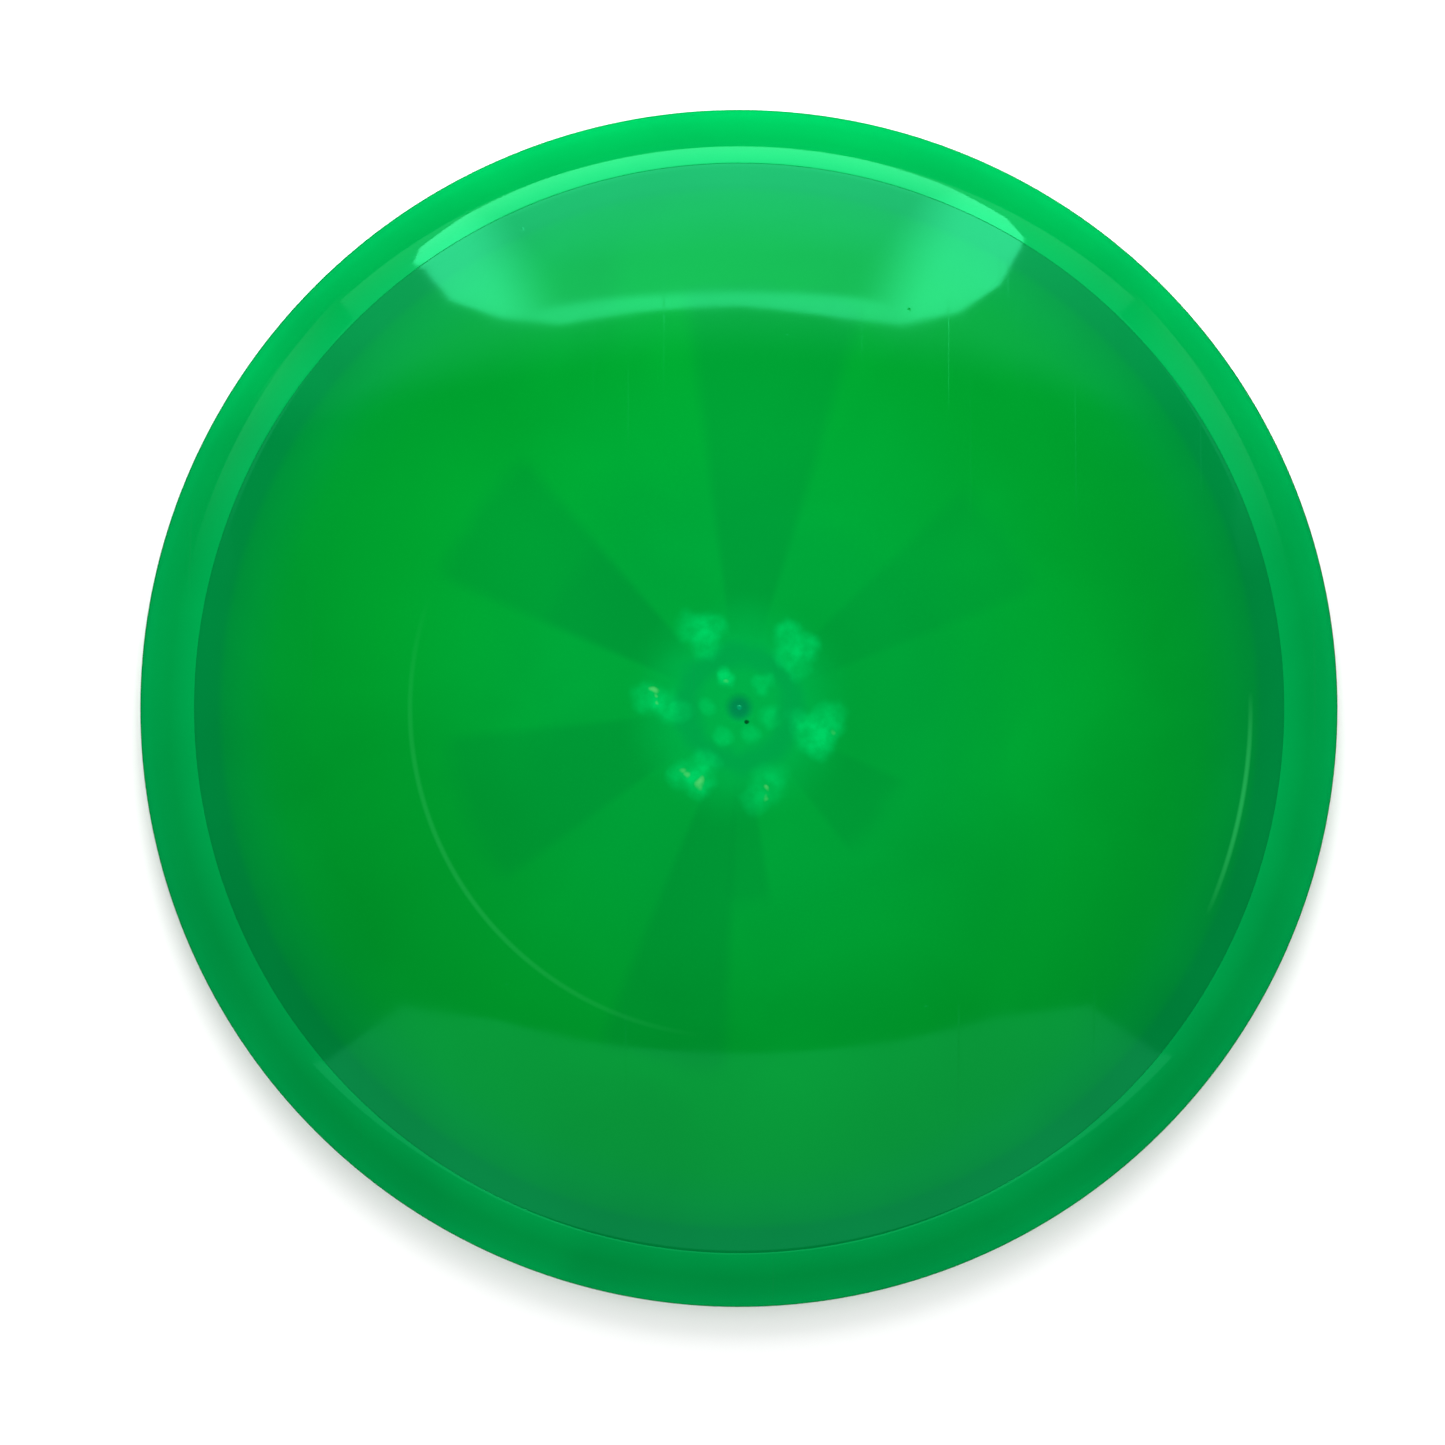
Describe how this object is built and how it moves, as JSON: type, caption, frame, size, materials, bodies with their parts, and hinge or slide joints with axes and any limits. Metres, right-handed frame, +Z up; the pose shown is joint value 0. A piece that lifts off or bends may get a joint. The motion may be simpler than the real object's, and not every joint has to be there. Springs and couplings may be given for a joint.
{
  "type": "golf flying disc",
  "caption": "Golf-style flying disc of see-through green plastic: a domed flight plate and inner rim, with a sharp outer rim moulded round it.",
  "frame": {"origin": "on the disc's axis, in the plane that its lip rests on", "axes": "+Z up along the disc's axis, through the top of the dome; +X and +Y in the resting plane"},
  "size_m": [0.212, 0.212, 0.0161],
  "materials": {
    "core_polyurethane": "glossy, see-through leaf green, yellower where it is thin",
    "rim_polyurethane": "glossy, see-through bluish green"
  },
  "bodies": {
    "root": {"flight_plate_core": "core_polyurethane", "outer_rim": "rim_polyurethane"}
  },
  "joints": []
}
